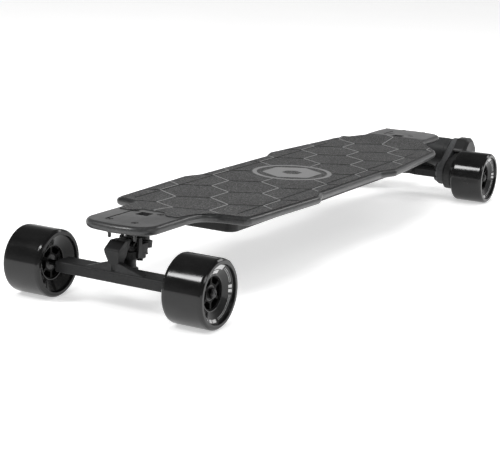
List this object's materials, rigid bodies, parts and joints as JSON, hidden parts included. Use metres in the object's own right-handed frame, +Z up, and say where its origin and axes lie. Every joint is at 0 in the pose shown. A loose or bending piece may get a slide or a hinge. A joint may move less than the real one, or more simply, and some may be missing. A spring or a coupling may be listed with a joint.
{
  "type": "electric skateboard",
  "caption": "Electric longboard with a cut-out flat deck, enclosure below, double-kingpin trucks, large wheels and two belt-driven rear wheels.",
  "frame": {"origin": "on the ground under the middle of the overall length and width", "axes": "+X to the nose, +Y to the rider's left, +Z up"},
  "size_m": [1.1714, 0.324, 0.1256],
  "materials": {
    "deck": "satin coated moulded composite",
    "grip_sheet": "fine abrasive grit",
    "nose_bolt_1": "black oxide steel",
    "nose_bolt_2": "black oxide steel",
    "nose_bolt_3": "black oxide steel",
    "nose_bolt_4": "black oxide steel",
    "tail_bolt_1": "black oxide steel",
    "tail_bolt_2": "black oxide steel",
    "tail_bolt_3": "black oxide steel",
    "tail_bolt_4": "black oxide steel",
    "battery_enclosure": "moulded black",
    "battery_pack": "wrapped cells",
    "speed_controller": "coated electronics",
    "power_button": "smooth",
    "charge_port": "moulded black",
    "front_baseplate": "satin black forging",
    "front_base_kingpin": "black oxide steel",
    "front_hanger_kingpin": "black oxide steel",
    "front_base_bushing_upper": "soft urethane",
    "front_base_bushing_lower": "soft urethane",
    "front_hanger_bushing_upper": "soft urethane",
    "front_hanger_bushing_lower": "soft urethane",
    "front_link": "satin black forging",
    "front_hanger": "satin black forging",
    "front_axle": "black oxide steel",
    "front_left_tyre": "cast urethane, glossy",
    "front_left_core": "moulded black",
    "front_left_bearings": "ground steel",
    "front_right_tyre": "cast urethane, glossy",
    "front_right_core": "moulded black",
    "front_right_bearings": "ground steel",
    "rear_baseplate": "satin black forging",
    "rear_base_kingpin": "black oxide steel",
    "rear_hanger_kingpin": "black oxide steel",
    "rear_base_bushing_upper": "soft urethane",
    "rear_base_bushing_lower": "soft urethane",
    "rear_hanger_bushing_upper": "soft urethane",
    "rear_hanger_bushing_lower": "soft urethane",
    "rear_link": "satin black forging",
    "rear_hanger": "satin black forging",
    "rear_axle": "black oxide steel",
    "rear_left_tyre": "cast urethane, glossy",
    "rear_left_core": "moulded black",
    "rear_left_bearings": "ground steel",
    "rear_left_motor": "satin black can",
    "rear_left_motor_mount": "satin black forging",
    "rear_left_motor_pulley": "black anodised",
    "rear_left_pulley": "black anodised",
    "rear_left_belt": "ribbed drive belt",
    "rear_left_pulley_cover": "moulded black",
    "rear_right_tyre": "cast urethane, glossy",
    "rear_right_core": "moulded black",
    "rear_right_bearings": "ground steel",
    "rear_right_motor": "satin black can",
    "rear_right_motor_mount": "satin black forging",
    "rear_right_motor_pulley": "black anodised",
    "rear_right_pulley": "black anodised",
    "rear_right_belt": "ribbed drive belt",
    "rear_right_pulley_cover": "moulded black"
  },
  "bodies": {
    "board": {"deck": "deck", "grip_sheet": "grip_sheet", "battery_enclosure": "battery_enclosure", "battery_pack": "battery_pack", "speed_controller": "speed_controller", "charge_port": "charge_port", "nose_bolt_1": "nose_bolt_1", "nose_bolt_2": "nose_bolt_2", "nose_bolt_3": "nose_bolt_3", "nose_bolt_4": "nose_bolt_4", "tail_bolt_1": "tail_bolt_1", "tail_bolt_2": "tail_bolt_2", "tail_bolt_3": "tail_bolt_3", "tail_bolt_4": "tail_bolt_4", "front_baseplate": "front_baseplate", "front_base_kingpin": "front_base_kingpin", "front_base_bushing_upper": "front_base_bushing_upper", "front_base_bushing_lower": "front_base_bushing_lower", "rear_baseplate": "rear_baseplate", "rear_base_kingpin": "rear_base_kingpin", "rear_base_bushing_upper": "rear_base_bushing_upper", "rear_base_bushing_lower": "rear_base_bushing_lower"},
    "power_button": {"power_button": "power_button"},
    "front_link": {"front_link": "front_link"},
    "front_hanger": {"front_hanger": "front_hanger", "front_hanger_kingpin": "front_hanger_kingpin", "front_hanger_bushing_upper": "front_hanger_bushing_upper", "front_hanger_bushing_lower": "front_hanger_bushing_lower", "front_axle": "front_axle"},
    "front_left_wheel": {"front_left_tyre": "front_left_tyre", "front_left_core": "front_left_core", "front_left_bearings": "front_left_bearings"},
    "front_right_wheel": {"front_right_tyre": "front_right_tyre", "front_right_core": "front_right_core", "front_right_bearings": "front_right_bearings"},
    "rear_link": {"rear_link": "rear_link"},
    "rear_hanger": {"rear_hanger": "rear_hanger", "rear_hanger_kingpin": "rear_hanger_kingpin", "rear_hanger_bushing_upper": "rear_hanger_bushing_upper", "rear_hanger_bushing_lower": "rear_hanger_bushing_lower", "rear_axle": "rear_axle", "rear_left_motor": "rear_left_motor", "rear_left_motor_mount": "rear_left_motor_mount", "rear_left_belt": "rear_left_belt", "rear_left_pulley_cover": "rear_left_pulley_cover", "rear_right_motor": "rear_right_motor", "rear_right_motor_mount": "rear_right_motor_mount", "rear_right_belt": "rear_right_belt", "rear_right_pulley_cover": "rear_right_pulley_cover"},
    "rear_left_wheel": {"rear_left_tyre": "rear_left_tyre", "rear_left_core": "rear_left_core", "rear_left_bearings": "rear_left_bearings", "rear_left_pulley": "rear_left_pulley"},
    "rear_left_shaft": {"rear_left_motor_pulley": "rear_left_motor_pulley"},
    "rear_right_wheel": {"rear_right_tyre": "rear_right_tyre", "rear_right_core": "rear_right_core", "rear_right_bearings": "rear_right_bearings", "rear_right_pulley": "rear_right_pulley"},
    "rear_right_shaft": {"rear_right_motor_pulley": "rear_right_motor_pulley"}
  },
  "joints": [
    {"name": "front_base_pivot", "type": "hinge", "parent": "board", "child": "front_link", "pos_m": [0.48225, 0, 0.083], "axis": [0.8572, 0, 0.515], "range_deg": [-10, 10], "stiffness_Nm_per_rad": 60, "deforming": ["front_base_bushing_upper", "front_base_bushing_lower"]},
    {"name": "front_hanger_pivot", "type": "hinge", "parent": "front_link", "child": "front_hanger", "pos_m": [0.51075, 0, 0.0731], "axis": [0.9018, 0, 0.4321], "range_deg": [-10, 10], "stiffness_Nm_per_rad": 60, "deforming": ["front_hanger_bushing_upper", "front_hanger_bushing_lower"]},
    {"name": "front_left_wheel_spin", "type": "hinge", "parent": "front_hanger", "child": "front_left_wheel", "pos_m": [0.53725, 0.13075, 0.0485], "axis": [0, 1, 0], "continuous": true},
    {"name": "front_right_wheel_spin", "type": "hinge", "parent": "front_hanger", "child": "front_right_wheel", "pos_m": [0.53725, -0.13075, 0.0485], "axis": [0, 1, 0], "continuous": true},
    {"name": "rear_base_pivot", "type": "hinge", "parent": "board", "child": "rear_link", "pos_m": [-0.43575, 0, 0.083], "axis": [-0.8572, 0, 0.515], "range_deg": [-10, 10], "stiffness_Nm_per_rad": 60, "deforming": ["rear_base_bushing_upper", "rear_base_bushing_lower"]},
    {"name": "rear_hanger_pivot", "type": "hinge", "parent": "rear_link", "child": "rear_hanger", "pos_m": [-0.46425, 0, 0.0731], "axis": [-0.9018, 0, 0.4321], "range_deg": [-10, 10], "stiffness_Nm_per_rad": 60, "deforming": ["rear_hanger_bushing_upper", "rear_hanger_bushing_lower"]},
    {"name": "rear_left_wheel_spin", "type": "hinge", "parent": "rear_hanger", "child": "rear_left_wheel", "pos_m": [-0.49075, 0.13075, 0.0485], "axis": [0, 1, 0], "continuous": true},
    {"name": "rear_left_shaft_spin", "type": "hinge", "parent": "rear_hanger", "child": "rear_left_shaft", "pos_m": [-0.55175, 0.085, 0.078], "axis": [0, 1, 0], "continuous": true},
    {"name": "rear_right_wheel_spin", "type": "hinge", "parent": "rear_hanger", "child": "rear_right_wheel", "pos_m": [-0.49075, -0.13075, 0.0485], "axis": [0, 1, 0], "continuous": true},
    {"name": "rear_right_shaft_spin", "type": "hinge", "parent": "rear_hanger", "child": "rear_right_shaft", "pos_m": [-0.55175, -0.085, 0.078], "axis": [0, 1, 0], "continuous": true},
    {"name": "power_button_press", "type": "slide", "parent": "board", "child": "power_button", "axis": [0, 1, 0], "range_m": [0, 0.001], "stiffness_N_per_m": 400}
  ],
  "couplings": [
    {"joint": "rear_left_shaft_spin", "follows": "rear_left_wheel_spin", "ratio": 2.4286},
    {"joint": "rear_right_shaft_spin", "follows": "rear_right_wheel_spin", "ratio": 2.4286}
  ]
}
